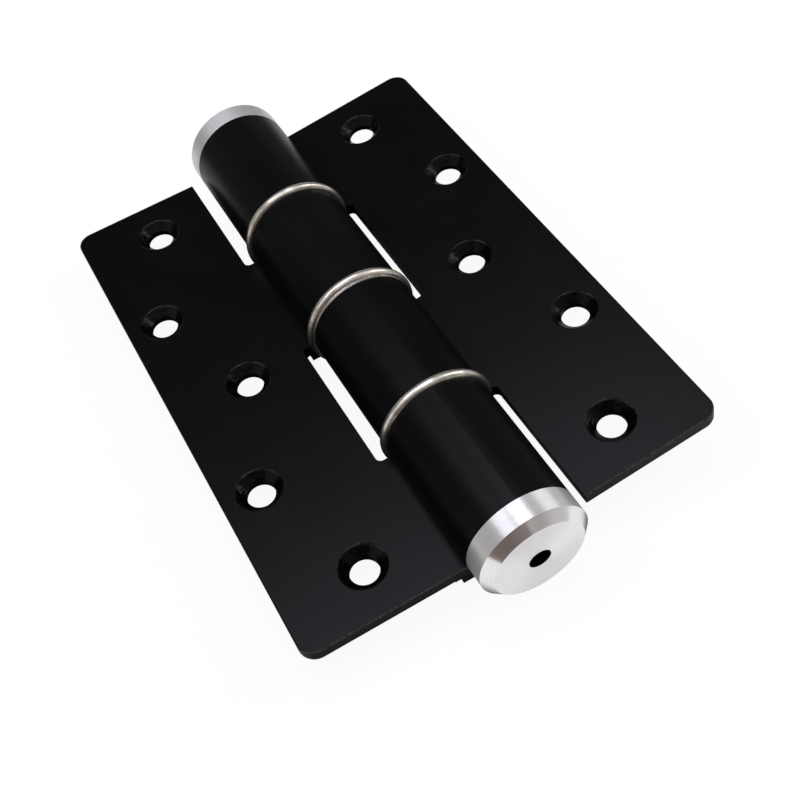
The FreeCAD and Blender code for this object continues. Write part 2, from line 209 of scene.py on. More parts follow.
print("hole rows at", round(INNER_ROW_MM, 2), "and", round(OUTER_ROW_MM, 2), "mm, step", HOLE_STEP_MM, "mm")

# %% [markdown]
# Painted highlight on the edges of the leaf ends
# The rounded edges catch light, and a lighter grey painted on them stands for that highlight.
# Pointiness, Blender's own measure of edges, needs a finer mesh than a CAD solid has. These
# leaves are simple enough to know an edge by the way its surface faces: neither flat nor
# upright, and towards the end with the speed valve, where the edges show in the picture. A
# fine noise breaks the painted highlight into speckles.

# %% Edge mask
EDGE_LEAN, EDGE_LEAN_SPREAD = 0.55, 0.38  # middle and half range of the normal's z on a rounded edge
EDGE_WAY = -0.35  # the normal's y is below this on an edge of the valve end
EDGE_SPECKLE = (0.25, 0.60)


def painted_edge_highlight(tree, speckle):
    """Painted highlight mask: 1 on rounded edges at the valve end and 0 elsewhere, times the speckle noise.
    """
    facing = add(tree, "SeparateXYZ", {}, {"Vector": add(tree, "TexCoord").outputs["Normal"]})
    lean = add(tree, "Math", {"operation": "ABSOLUTE"}, {0: facing.outputs["Z"]})
    between = {"operation": "COMPARE", 1: EDGE_LEAN, 2: EDGE_LEAN_SPREAD}
    rounded = add(tree, "Math", between, {0: lean.outputs["Value"]})
    at_end = add(tree, "Math", {"operation": "LESS_THAN", 1: EDGE_WAY}, {0: facing.outputs["Y"]})
    both = {0: rounded.outputs["Value"], 1: at_end.outputs["Value"]}
    edge = add(tree, "Math", {"operation": "MULTIPLY"}, both)
    speckle_range = {"From Min": EDGE_SPECKLE[0], "From Max": EDGE_SPECKLE[1]}
    broken = add(tree, "MapRange", speckle_range, {"Value": speckle})
    spread = {0: edge.outputs["Value"], 1: broken.outputs["Result"]}
    return add(tree, "Math", {"operation": "MULTIPLY"}, spread).outputs["Value"]


edge_leans = [math.degrees(math.acos(EDGE_LEAN + side * EDGE_LEAN_SPREAD)) for side in (1, -1)]
print("edges lean", [round(lean) for lean in edge_leans], "degrees from flat")

# %% [markdown]
# Satin black coat on steel
# The leaves are steel with a baked black coat. The coat is nearly black, and its skin has the
# fine dimples of a sprayed film, so lights turn into broad soft patches and nothing mirrors. A
# flat black would look like a hole in the picture, so a broad noise gives the slight unevenness
# of tone and gloss that a sprayed coat has. Round the barrel the coat is a little duller. In the
# countersinks it pooled, so there it is smoother and glints, with painted shade making it
# blacker, and a painted highlight of grey lies on the rounded edges at the valve end.

# %% Tone and roughness of the coat
COAT_TONES = ("#030303", "#060607")
COAT_ROUGHNESS = (0.25, 0.33)
KNUCKLE_FADE_MM = (12.5, 11.6)  # distance from the pin line where the duller coat begins and is full
KNUCKLE_DULLER = 0.04
# painted highlight: the grey stands for light caught by the rounded edges at the valve end
EDGE_PAINTED_HIGHLIGHT = "#3a3a3c"
# painted shade: the darker colour in the hollows of the countersinks
SINK_PAINTED_SHADE = "#020202"
SINK_ROUGHNESS = 0.10


def coat_tone(tree, clouds, sink, edge_highlight):
    """Base colour: cloudy film, grey on the edges as painted highlight, black in the countersinks as painted
    shade.
    """
    dark, pale = (linear(colour) for colour in COAT_TONES)
    film = add(tree, "Mix", {"data_type": "RGBA", COLOUR_A: dark, COLOUR_B: pale}, {0: clouds})
    grey = {"data_type": "RGBA", COLOUR_B: linear(EDGE_PAINTED_HIGHLIGHT)}
    highlighted = add(tree, "Mix", grey, {0: edge_highlight, COLOUR_A: film.outputs[COLOUR_OUT]})
    black = {"data_type": "RGBA", COLOUR_B: linear(SINK_PAINTED_SHADE)}
    pooled = add(tree, "Mix", black, {0: sink, COLOUR_A: highlighted.outputs[COLOUR_OUT]})
    return pooled.outputs[COLOUR_OUT]


def coat_roughness(tree, parts, clouds, sink):
    """Roughness: cloudy satin, a little more within the barrel's radius, and little where it pooled."""
    from_pin = add(tree, "CombineXYZ", {}, {"X": parts.outputs["X"], "Z": parts.outputs["Z"]})
    pin_distance = add(tree, "VectorMath", {"operation": "LENGTH"}, {0: from_pin.outputs["Vector"]})
    fade = ramp(KNUCKLE_FADE_MM[0] * MM, KNUCKLE_FADE_MM[1] * MM)
    knuckle = add(tree, "MapRange", fade, {"Value": pin_distance.outputs["Value"]})
    span = {"To Min": COAT_ROUGHNESS[0], "To Max": COAT_ROUGHNESS[1]}
    satin = add(tree, "MapRange", span, {"Value": clouds})
    duller = add(
        tree, "Math", {"operation": "MULTIPLY_ADD", 1: KNUCKLE_DULLER},
        {0: knuckle.outputs["Result"], 2: satin.outputs["Result"]},
    )
    smooth = {"data_type": "FLOAT", NUMBER_B: SINK_ROUGHNESS}
    pooled = add(tree, "Mix", smooth, {0: sink, NUMBER_A: duller.outputs["Value"]})
    return pooled.outputs[NUMBER_OUT]


print("the coat sends back", [round(linear(colour)[0], 5) for colour in COAT_TONES], "of the light")

# %% [markdown]
# The skin of the coat
# Bump nodes tilt the shading and leave the surface where it is, which is enough for a relief of
# a tenth of a millimetre or so. Displacement would need millions of faces for it. Three bumps
# are chained: the soft rim of each countersink, the drops that the pooled coat left in it, and
# the dimples all over.

# %% Relief of the coat
COAT_SKIN = {"Strength": 0.3, "Distance": 0.02 * MM}
SINK_RIM = {"Strength": 1.0, "Distance": 0.08 * MM, "invert": True}
SINK_GRAIN_MM = 0.9
SINK_DROPS = {"Strength": 0.5, "Distance": 0.25 * MM}


def coat_relief(tree, place, dimples, sink):
    """Surface normal: the rim and the drops of the countersinks, then the dimples."""
    rim = add(tree, "Bump", SINK_RIM, {"Height": sink})
    grain = add(tree, "TexNoise", {"Scale": per_metre(SINK_GRAIN_MM), "Detail": 3.0}, {"Vector": place})
    pooled = add(tree, "Math", {"operation": "MULTIPLY"}, {0: grain.outputs["Fac"], 1: sink})
    on_rim = {"Height": pooled.outputs["Value"], "Normal": rim.outputs["Normal"]}
    drops = add(tree, "Bump", SINK_DROPS, on_rim)
    skin = add(tree, "Bump", COAT_SKIN, {"Height": dimples, "Normal": drops.outputs["Normal"]})
    return skin.outputs["Normal"]


print("about", round(2 * SINK_RADIUS_MM / SINK_GRAIN_MM), "drops across a countersink")

# %% [markdown]
# The coat of both leaves
# Both leaves have the same coat. The right one lies tilted at rest, so its coordinates are first
# turned back flat by the tilt of its own screw mounts, and one mask then serves both. A second
# mask for the tilted leaf would say the same thing twice.

# %% Black coat
COAT_DIMPLE_MM = 0.45  # real dimples are about 0.2 mm; drawn coarser so that they show
COAT_CLOUD_MM = 14.0
COAT_SPECULAR = 0.09


def satin_black_coat(name, tilt):
    """The coat of one leaf: fine and broad noise, the two masks, and tilt to turn its coordinates flat."""
    material, tree = new_finish(name)
    place = add(tree, "TexCoord").outputs["Object"]
    level = add(tree, "VectorRotate", {"rotation_type": "Y_AXIS", "Angle": tilt}, {"Vector": place})
    parts = add(tree, "SeparateXYZ", {}, {"Vector": level.outputs["Vector"]})
    fine = {"Scale": per_metre(COAT_DIMPLE_MM), "Detail": 3.0}
    dimples = add(tree, "TexNoise", fine, {"Vector": place}).outputs["Fac"]
    broad = {"Scale": per_metre(COAT_CLOUD_MM), "Detail": 4.0}
    clouds = add(tree, "TexNoise", broad, {"Vector": place}).outputs["Fac"]
    sink = countersinks(tree, parts)
    coat = add(
        tree, "BsdfPrincipled",
        {"Specular IOR Level": COAT_SPECULAR},
        {
            "Base Color": coat_tone(tree, clouds, sink, painted_edge_highlight(tree, dimples)),
            "Roughness": coat_roughness(tree, parts, clouds, sink),
            "Normal": coat_relief(tree, place, dimples, sink),
        },
    )
    add(tree, "OutputMaterial", {}, {"Surface": coat.outputs["BSDF"]})
    return material


right_leaf_axis = mounts["right_screws_outer"]["axis"]
right_leaf_tilt = math.atan2(-right_leaf_axis[0], right_leaf_axis[2])
finishes = {
    "black_coat": satin_black_coat("baked_black_coat_satin", 0.0),
    "leaf_right": satin_black_coat("baked_black_coat_satin_tilted_leaf", right_leaf_tilt),
}
print("made", finishes["black_coat"].name, "and one tilted by", round(math.degrees(right_leaf_tilt), 2))

# %% [markdown]
# Turned and ground metal
# Caps, rings and everything inside the barrel were made on a lathe or a grinder, so their
# marks run round the pin line. Blender's Wave texture can draw rings, but all alike. Here a
# noise is read at radius, height and way round, in place of x, y and z. Shrinking the way
# round draws each grain out to a streak, which is a whole ring on a turned face and a short
# scratch on the polished rings.

# %% Lathe coordinates
BARREL_MM = 12.0


def lathe_place(tree, place, streak):
    """Radius, height and way round the pin line, the last one divided by a streak's length over its width."""
    parts = add(tree, "SeparateXYZ", {}, {"Vector": place})
    across = add(tree, "CombineXYZ", {}, {"X": parts.outputs["X"], "Z": parts.outputs["Z"]})
    radius = add(tree, "VectorMath", {"operation": "LENGTH"}, {0: across.outputs["Vector"]}).outputs["Value"]
    angle = add(tree, "Math", {"operation": "ARCTAN2"}, {0: parts.outputs["X"], 1: parts.outputs["Z"]})
    shrink = {"operation": "MULTIPLY", 1: BARREL_MM * MM / streak}
    way_round = add(tree, "Math", shrink, {0: angle.outputs["Value"]})
    rolled = {"X": radius, "Y": parts.outputs["Y"], "Z": way_round.outputs["Value"]}
    return add(tree, "CombineXYZ", {}, rolled).outputs["Vector"], radius


print("once round the barrel is", round(2 * math.pi * BARREL_MM), "mm")

# %% [markdown]
# Bevel, end face and hole of the valve cap
# The bevel and the end face of the valve cap were cut with a finer feed than its band, so they
# shine more. Inside the radius of the drilled hole the metal is coloured nearly black. Three
# materials on one piece would do it, but masks keep one cap one metal: a face is known by its
# lean, the share of its normal that points along the pin line.

# %% Faces and hole
FACE_LEAN_SPREAD = 0.14
# the metal inside the key hole's radius is coloured nearly black
BORE_BLACK = "#0b0a09"
BORE_EDGE_MM = 0.06


def blacken_bore(tree, tone, radius, bore_mm):
    """The tone, nearly black where the radius is within the bore."""
    bore = add(tree, "MapRange", ramp((bore_mm + BORE_EDGE_MM) * MM, bore_mm * MM), {"Value": radius})
    black = {"data_type": "RGBA", COLOUR_B: linear(BORE_BLACK)}
    return add(tree, "Mix", black, {0: bore.outputs["Result"], COLOUR_A: tone}).outputs[COLOUR_OUT]


def by_face(tree, rough, face_roughness):
    """The roughness, or a face's own one where the normal's share along the pin line is that face's lean."""
    facing = add(tree, "SeparateXYZ", {}, {"Vector": add(tree, "TexCoord").outputs["Normal"]})
    lean = add(tree, "Math", {"operation": "ABSOLUTE"}, {0: facing.outputs["Y"]})
    for face_lean, own_roughness in face_roughness.items():
        same = {"operation": "COMPARE", 1: face_lean, 2: FACE_LEAN_SPREAD}
        here = add(tree, "Math", same, {0: lean.outputs["Value"]})
        own = {"data_type": "FLOAT", NUMBER_B: own_roughness}
        rough = add(tree, "Mix", own, {0: here.outputs["Value"], NUMBER_A: rough}).outputs[NUMBER_OUT]
    return rough


print("key hole of radius", mounts["key_hole"]["dims"]["r_mm"], "mm")

# %% [markdown]
# One function for all turned metals
# The marks move tone, roughness and height together, and a second, broad noise wears them off in
# places. Across its marks a turned face is rougher than along them, so reflections smear along
# the axis: that is the shader's anisotropy, turned a quarter from the ring-shaped tangent. The
# first metal made is the plainest, the ground steel of shafts and tubes: mid grey and satin.

# %% Turned metal
# Feed and grinding marks are about 0.1 mm apart; all of them are drawn coarser so that they show.
WHOLE_RING_MM = 400  # longer than any way round, so that a mark runs all the way
WEAR_STEP = (0.12, 0.42)
GROOVE_MM = 0.01
QUARTER_TURN = 0.25


def turned_metal(
    name, pale, dark, roughness, mark_mm, mark_depth, smear,
    streak_mm=WHOLE_RING_MM, cloud_mm=6.0, bore_mm=None, face_roughness=None,
):
    """Metal with marks round the pin line: noise at the lathe's coordinates moves tone, gloss and height."""
    material, tree = new_finish(name)
    place = add(tree, "TexCoord").outputs["Object"]
    section, radius = lathe_place(tree, place, streak_mm / mark_mm)
    marks = add(tree, "TexNoise", {"Scale": per_metre(mark_mm), "Detail": 2.0}, {"Vector": section})
    handling = add(tree, "TexNoise", {"Scale": per_metre(cloud_mm), "Detail": 5.0}, {"Vector": place})
    both = {0: marks.outputs["Fac"], 1: handling.outputs["Fac"]}
    uneven = add(tree, "Math", {"operation": "MULTIPLY"}, both)
    wear = add(tree, "MapRange", ramp(*WEAR_STEP), {"Value": uneven.outputs["Value"]}).outputs["Result"]
    tones = {"data_type": "RGBA", COLOUR_A: linear(pale), COLOUR_B: linear(dark)}
    tone = add(tree, "Mix", tones, {0: wear}).outputs[COLOUR_OUT]
    if bore_mm:
        tone = blacken_bore(tree, tone, radius, bore_mm)
    span = {"To Min": roughness[0], "To Max": roughness[1]}
    rough = add(tree, "MapRange", span, {"Value": wear}).outputs["Result"]
    if face_roughness:
        rough = by_face(tree, rough, face_roughness)
    relief = {"Strength": mark_depth, "Distance": GROOVE_MM * MM}
    grooves = add(tree, "Bump", relief, {"Height": marks.outputs["Fac"]})
    ring_way = add(tree, "Tangent", {"direction_type": "RADIAL", "axis": "Y"})
    metal = add(
        tree, "BsdfPrincipled",
        {"Metallic": 1.0, "Anisotropic": smear, "Anisotropic Rotation": QUARTER_TURN},
        {
            "Base Color": tone, "Roughness": rough,
            "Normal": grooves.outputs["Normal"], "Tangent": ring_way.outputs["Tangent"],
        },
    )
    add(tree, "OutputMaterial", {}, {"Surface": metal.outputs["BSDF"]})
    return material


finishes["machined_steel"] = turned_metal(
    "carbon_steel_ground", "#a9a9ab", "#828181", (0.26, 0.40), mark_mm=0.25, mark_depth=0.20, smear=0.5
)
print("made", finishes["machined_steel"].name)

# %% [markdown]
# The other metals of the hinge
# The near cap is bright turned aluminium, and its band smears the lamps along the axis. The far
# cap is the same metal with a coarser and duller cut. The rings are polished stainless steel,
# warm in tone, with short scratches from turning against the knuckles. The speed valve has a
# black oxide skin, springs are dark from the oil they were hardened in, and the bushes are
# sintered bronze, brown where its oil comes out.

# %% Metals of the hinge
BEVEL_LEAN, END_FACE_LEAN = 0.7, 1.0

finishes["turned_cap"] = turned_metal(
    "turned_aluminium_bright", "#e7e6e7", "#dfdedf", (0.40, 0.43), mark_mm=0.30, mark_depth=0.006,
    smear=0.95, bore_mm=mounts["key_hole"]["dims"]["r_mm"],
    face_roughness={BEVEL_LEAN: 0.17, END_FACE_LEAN: 0.30},
)
finishes["cap_plain"] = turned_metal(
    "turned_aluminium_dull", "#d7d7d4", "#c3c3c0", (0.44, 0.54), mark_mm=0.40, mark_depth=0.06,
    smear=0.4, cloud_mm=5.0,
)
finishes["stainless_ring"] = turned_metal(
    "stainless_steel_polished", "#dcd7d0", "#8d867b", (0.27, 0.42), mark_mm=0.25, mark_depth=0.05,
    smear=0.2, streak_mm=9, cloud_mm=2.4,
)
finishes["speed_valve"] = turned_metal(
    "carbon_steel_black_oxide", "#2a2826", "#151413", (0.30, 0.44), mark_mm=0.25, mark_depth=0.20,
    smear=0.3,
)
finishes["spring_steel"] = turned_metal(
    "spring_steel_oil_tempered", "#5e564e", "#2f2a26", (0.30, 0.45), mark_mm=0.60, mark_depth=0.15,
    smear=0.0,
)
finishes["bronze_bush"] = turned_metal(
    "sintered_bronze_oiled", "#c08a4c", "#7c5526", (0.36, 0.52), mark_mm=0.20, mark_depth=0.25,
    smear=0.2,
)
print("finishes so far:", len(finishes))

# %% [markdown]
# Moulded seal rubber
# The seals are nitrile rubber rings: black, slightly grey where they are dusty, and dull. Dust
# could be a second shader on top, but it is so thin here that one fine noise is enough. It
# lifts tone and roughness together, because dust does both.

# %% Rubber
DUST_MM = 0.8
RUBBER_TONES = ("#0d0d0d", "#242322")
RUBBER_ROUGHNESS = (0.45, 0.65)
RUBBER_SKIN = {"Strength": 0.2, "Distance": 0.02 * MM}
RUBBER_IOR = 1.52


def moulded_rubber():
    """Black to grey, smooth to dull and slightly uneven, all three by the same noise."""
    material, tree = new_finish("nitrile_rubber_moulded")
    place = add(tree, "TexCoord").outputs["Object"]
    fine = {"Scale": per_metre(DUST_MM), "Detail": 4.0}
    dust = add(tree, "TexNoise", fine, {"Vector": place}).outputs["Fac"]
    black, grey = (linear(colour) for colour in RUBBER_TONES)
    tone = add(tree, "Mix", {"data_type": "RGBA", COLOUR_A: black, COLOUR_B: grey}, {0: dust})
    span = {"To Min": RUBBER_ROUGHNESS[0], "To Max": RUBBER_ROUGHNESS[1]}
    rough = add(tree, "MapRange", span, {"Value": dust})
    skin = add(tree, "Bump", RUBBER_SKIN, {"Height": dust})
    rubber = add(
        tree, "BsdfPrincipled",
        {"IOR": RUBBER_IOR},
        {
            "Base Color": tone.outputs[COLOUR_OUT], "Roughness": rough.outputs["Result"],
            "Normal": skin.outputs["Normal"],
        },
    )
    add(tree, "OutputMaterial", {}, {"Surface": rubber.outputs["BSDF"]})
    return material


finishes["seal_rubber"] = moulded_rubber()
print("made", finishes["seal_rubber"].name)

# %% [markdown]
# Each solid gets its finish
# The record says which slot every solid belongs to, so the finishes are handed out by that
# list and no solid can be forgotten. A solid with a finish under its own name takes that one.

# %% Hand out the finishes
for row in frame["record"]["subparts"]:
    for holder in frame["nodes"][row["node"]].material_slots:
        holder.material = finishes.get(row["node"], finishes[row["material_slot"]])

# %% [markdown]
# Pieces worked out with numpy
# The parts that a machine bends or presses are easier as formulas than as solids: a closed
# profile is carried along a path, and each row of the grid is that profile at one place. One
# function gives the faces of such a grid, another puts points and faces into a mesh. The volume
# that it prints is positive only if the faces point outwards.

# %% Helpers for pieces
SHARP_ANGLE = math.radians(40)


def grid_faces(rows, around, closed):
    """Quads between neighbour rows, facing outwards; a fan closes both ends unless the rows meet."""
    index = np.arange(rows * around).reshape(rows, around)
    here, ahead = (index, np.roll(index, -1, axis=0)) if closed else (index[:-1], index[1:])
    corners = [here, ahead, np.roll(ahead, -1, axis=1), np.roll(here, -1, axis=1)]
    quads = np.stack(corners, axis=-1).reshape(-1, 4).tolist()
    if closed:
        return quads
    first, last = index[0], index[-1]
    start_fan = np.stack([np.full(around, index.size), first, np.roll(first, -1)], axis=-1).tolist()
    end_fan = np.stack([np.full(around, index.size + 1), np.roll(last, -1), last], axis=-1).tolist()
    return quads + start_fan + end_fan


def new_piece(name, points_mm, faces, finish):
    """A mesh object at the origin, smooth between its sharp edges; its volume sums a pyramid a triangle."""
    mesh = bpy.data.meshes.new(name)
    mesh.from_pydata((points_mm * MM).tolist(), [], faces)
    mesh.shade_smooth()
    mesh.set_sharp_from_angle(angle=SHARP_ANGLE)
    mesh.materials.append(finish)
    piece = bpy.data.objects.new(name, mesh)
    bpy.context.collection.objects.link(piece)
    triangles = [(face[0], face[k], face[k + 1]) for face in faces for k in range(1, len(face) - 1)]
    a, b, c = points_mm[np.array(triangles)].transpose(1, 0, 2)
    volume = np.einsum("ij,ij->i", a, np.cross(b, c)).sum() / 6
    print(name, len(mesh.vertices), "points", len(mesh.polygons), "faces", round(float(volume), 1), "mm3")
    return piece


def rounded_square(count, power):
    """Points of |a|^power + |b|^power = 1, once round from the first axis to the second."""
    v = np.linspace(0, 2 * math.pi, count, endpoint=False)
    return (np.sign(c) * np.abs(c) ** (2 / power) for c in (np.cos(v), np.sin(v)))


print("a closed grid of 3 by 4 points has", len(grid_faces(3, 4, True)), "faces")

# %% [markdown]
# The closing spring
# A torsion spring of square wire closes the door. One leg sits in the middle journal, which
# stands still, and the other in the anchor, which turns with the door, so the coil winds up as
# the door opens. The wire is one path: a straight leg along the pin line, a tight bend, the
# helix, a bend and the other leg. Unrolled onto a flat sheet, with the way round as one
# direction and the pin line as the other, that path is only straight lines and two arcs, so it
# is worked out there and rolled up again. A Screw modifier would make the helix but not the
# legs and their bends.

# %% Line of the spring
COIL_R_MM = 5.5
WIRE_HALF_MM = 1.6
LEG_HALF_MM = 1.35
COIL_PITCH_MM = 4.7
COIL_Y_MM = (13.65, 48.525)
LEG_END_Y_MM = (9.15, 53.025)
BEND_MM = 1.6
TURN_POINTS = 28
BEND_POINTS = 12
LEG_POINTS = 5


def spring_line():
    """Centre line on the unrolled sheet: way round s, height y, lean of the wire and half its thickness."""
    rise = COIL_PITCH_MM / (2 * math.pi * COIL_R_MM)
    slope = math.atan(rise)
    full_way = (COIL_Y_MM[1] - COIL_Y_MM[0]) / rise
    leg_s = (WIRE_HALF_MM, full_way - WIRE_HALF_MM)
    leans = np.linspace(math.pi / 2, slope, BEND_POINTS)
    in_s = leg_s[0] + BEND_MM - BEND_MM * np.sin(leans)
    in_y = COIL_Y_MM[0] + rise * in_s[-1] + BEND_MM * (np.cos(leans) - math.cos(slope))
    out_s = full_way - in_s[::-1]
    out_y = COIL_Y_MM[0] + COIL_Y_MM[1] - in_y[::-1]
    turns = (out_s[0] - in_s[-1]) / (2 * math.pi * COIL_R_MM)
    coil_s = np.linspace(in_s[-1], out_s[0], int(TURN_POINTS * turns))[1:-1]
    leg_in_s, leg_out_s = (np.full(LEG_POINTS, end_s) for end_s in leg_s)
    leg_in_y = np.linspace(LEG_END_Y_MM[0], in_y[0], LEG_POINTS + 1)[:-1]
    leg_out_y = np.linspace(out_y[-1], LEG_END_Y_MM[1], LEG_POINTS + 1)[1:]
    upright = np.full(LEG_POINTS, math.pi / 2)
    s = np.concatenate([leg_in_s, in_s, coil_s, out_s, leg_out_s])
    y = np.concatenate([leg_in_y, in_y, COIL_Y_MM[0] + rise * coil_s, out_y, leg_out_y])
    lean = np.concatenate([upright, leans, np.full(coil_s.size, slope), leans[::-1], upright])
    from_leg = np.clip(np.minimum(s - in_s[-1], out_s[0] - s) / WIRE_HALF_MM, 0, 1)
    half = LEG_HALF_MM + (WIRE_HALF_MM - LEG_HALF_MM) * from_leg ** 2 * (3 - 2 * from_leg)
    return s, y, lean, half


print("coil of", round((COIL_Y_MM[1] - COIL_Y_MM[0]) / COIL_PITCH_MM, 2), "turns")

# %% [markdown]
# The section of the wire
# Square spring wire has slightly rounded corners. A curve with a bevel profile can twist that
# profile as it goes round, so here it is placed row by row: one side always points away from
# the pin line and the other lies across the wire.

# %% Section of the spring
WIRE_SQUARENESS = 9  # power of the rounded square: 2 is a circle, and more is squarer
WIRE_SECTION_POINTS = 32


def spring_points():
    """The rounded square section at each place of the line: one side along the radius, one across it."""
    s, y, lean, half = spring_line()
    angle = s / COIL_R_MM
    outward = np.stack([np.cos(angle), np.zeros_like(s), -np.sin(angle)], axis=-1)
    round_way = np.stack([-np.sin(angle), np.zeros_like(s), -np.cos(angle)], axis=-1)
    up = np.array([0.0, 1.0, 0.0])
    side = np.cos(lean)[:, None] * up - np.sin(lean)[:, None] * round_way
    centre = COIL_R_MM * outward + y[:, None] * up
    a, b = rounded_square(WIRE_SECTION_POINTS, WIRE_SQUARENESS)
    offset = a[None, :, None] * outward[:, None, :] + b[None, :, None] * side[:, None, :]
    sections = centre[:, None, :] + half[:, None, None] * offset
    return np.concatenate([sections.reshape(-1, 3), centre[[0, -1]]]), s.size


points, rows = spring_points()
print(rows, "sections along the wire")

# %% [markdown]
# Drawn spring wire
# Spring wire is drawn through a die and hardened in oil, which leaves a dark brown skin and
# fine lines along the wire. A noise in space would cut across the coil, so the lines read a UV
# map that follows the wire.

# %% Spring wire
DRAW_LINE_MM = 0.30  # real draw lines are finer; drawn coarser so that they show
DRAW_LENGTH_MM = 12.0
WIRE_TONES = ("#6a6058", "#2c2723")
WIRE_ROUGHNESS = (0.26, 0.46)
WIRE_RELIEF = {"Strength": 0.25, "Distance": 0.02 * MM}


def drawn_spring_wire():
    """Dark oiled steel: a noise stretched along the wire moves tone, roughness and height."""
    material, tree = new_finish("spring_steel_drawn_oil_tempered")
    on_wire = add(tree, "TexCoord").outputs["UV"]
    long_cells = {"Scale": (per_metre(DRAW_LENGTH_MM), per_metre(DRAW_LINE_MM), 1.0)}
    stretch = add(tree, "Mapping", long_cells, {"Vector": on_wire})
    flat_noise = {"noise_dimensions": "2D", "Scale": 1.0, "Detail": 3.0}
    lines = add(tree, "TexNoise", flat_noise, {"Vector": stretch.outputs["Vector"]}).outputs["Fac"]
    pale, dark = (linear(colour) for colour in WIRE_TONES)
    tone = add(tree, "Mix", {"data_type": "RGBA", COLOUR_A: pale, COLOUR_B: dark}, {0: lines})
    span = {"To Min": WIRE_ROUGHNESS[0], "To Max": WIRE_ROUGHNESS[1]}
    rough = add(tree, "MapRange", span, {"Value": lines})
    relief = add(tree, "Bump", WIRE_RELIEF, {"Height": lines})
    wire = add(
        tree, "BsdfPrincipled", {"Metallic": 1.0},
        {
            "Base Color": tone.outputs[COLOUR_OUT], "Roughness": rough.outputs["Result"],
            "Normal": relief.outputs["Normal"],
        },
    )
    add(tree, "OutputMaterial", {}, {"Surface": wire.outputs["BSDF"]})
    return material


wire_finish = drawn_spring_wire()
print("made", wire_finish.name)

# %% [markdown]
# Coordinates along the wire
# The coil could be unwrapped in the UV editor, but the grid already knows where each corner
# lies: one coordinate is the length along the wire, the other the way round its section, both
# in metres. The last quad of a row ends at the full girth and not at zero, so that no quad runs
# backwards over the map.

# %% Wire coordinates
WIRE_GIRTH_MM = 4 * 2 * WIRE_HALF_MM


def wire_uv(mesh, points_mm, rows, around):
    """Corner coordinates: length of the line up to the row, and way round the section."""
    middle = points_mm[:rows * around].reshape(rows, around, 3).mean(axis=1)
    length = np.concatenate([[0.0], np.cumsum(np.linalg.norm(np.diff(middle, axis=0), axis=1))])
    way = np.arange(around + 1) * WIRE_GIRTH_MM / around
    u = np.stack([length[:-1], length[1:], length[1:], length[:-1]], axis=-1)
    v = np.stack([way[:-1], way[:-1], way[1:], way[1:]], axis=-1)
    u = u[:, None, :].repeat(around, axis=1)
    v = v[None, :, :].repeat(rows - 1, axis=0)
    sides = np.stack([u, v], axis=-1).reshape(-1, 2)
    cut_end = np.array([[0.0, 0.0], [0.0, 1.0], [0.0, 1.0]])
    fans = np.tile(cut_end, (2 * around, 1))
    layer = mesh.uv_layers.new(name="along_wire")
    layer.data.foreach_set("uv", (np.concatenate([sides, fans]) * MM).astype(np.float32).ravel())
    return float(length[-1])


print("wire is", WIRE_GIRTH_MM, "mm round")

# %% [markdown]
# The spring in its place
# The solid of the spring can't bend, so the new piece takes its place and the solid is hidden. It
# could ride on one leaf, but then its other leg would turn out of its hole, so it is attached to
# neither leaf and stays where it is drawn; it does not wind up in other poses.

# %% Put the spring in
wire_faces = grid_faces(rows, WIRE_SECTION_POINTS, False)
spring = new_piece("closing_spring_wire", points, wire_faces, wire_finish)
wire_length = wire_uv(spring.data, points, rows, WIRE_SECTION_POINTS)
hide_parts("closing_spring")
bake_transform(spring)
print("wire is", round(wire_length), "mm long")

# %% [markdown]
# Sealing rings
# Four rubber rings keep the oil in. A free ring has a round section; pressed into its groove
# it becomes an oval that is as deep as the groove and bulges along it. The CAD solids are plain
# bands that fill the grooves, so each band's own box gives the oval's size, and the ring is
# that oval carried once round the pin line. A torus would have the round section of a free ring.

# %% Seals
SEALS = {  # the body that each seal rides on, and the radius of its groove's floor in mm
    "shaft_seal": ("frame_leaf", 4.54),
    "plug_seal": ("frame_leaf", 6.2),
    "piston_seal": ("damper_piston", 6.2),
    "valve_seal": ("valve_screw", 2.40),
}
SEAL_SQUARENESS = 2.6
SEAL_ROUND_POINTS = 96
SEAL_SECTION_POINTS = 24


def seal_points(inner, outer, low_y, high_y):
    """A rounded square, nearly an oval, between two radii and two heights, carried round the pin line."""
    a, b = rounded_square(SEAL_SECTION_POINTS, SEAL_SQUARENESS)
    angle = np.linspace(0, 2 * math.pi, SEAL_ROUND_POINTS, endpoint=False)[:, None]
    radius = (inner + outer) / 2 + (outer - inner) / 2 * a[None, :]
    height = (low_y + high_y) / 2 + (high_y - low_y) / 2 * b[None, :] + 0 * angle
    return np.stack([radius * np.cos(angle), height, -radius * np.sin(angle)], axis=-1).reshape(-1, 3)


seal_faces = grid_faces(SEAL_ROUND_POINTS, SEAL_SECTION_POINTS, True)
for node, (body, groove_mm) in SEALS.items():
    box_low, box_high = (np.array(corner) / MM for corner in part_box(node))
    ring_points = seal_points(groove_mm, box_high[0], box_low[1], box_high[1])
    ring = new_piece(node + "_ring", ring_points, seal_faces, finishes["seal_rubber"])
    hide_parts(node)
    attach(ring, body)

# %% [markdown]
# The paper
# The hinge lies on a narrow sheet of white paper. A wide one would throw much light back at the
# sides of the barrel, which are dark on the real hinge, so the sheet reaches only past the hinge
# and its shadow. Beyond it the camera sees the white of the room.

# %% Paper sheet
PAPER_X = (-0.095, 0.095)
PAPER_Y = (-0.14, 0.5)

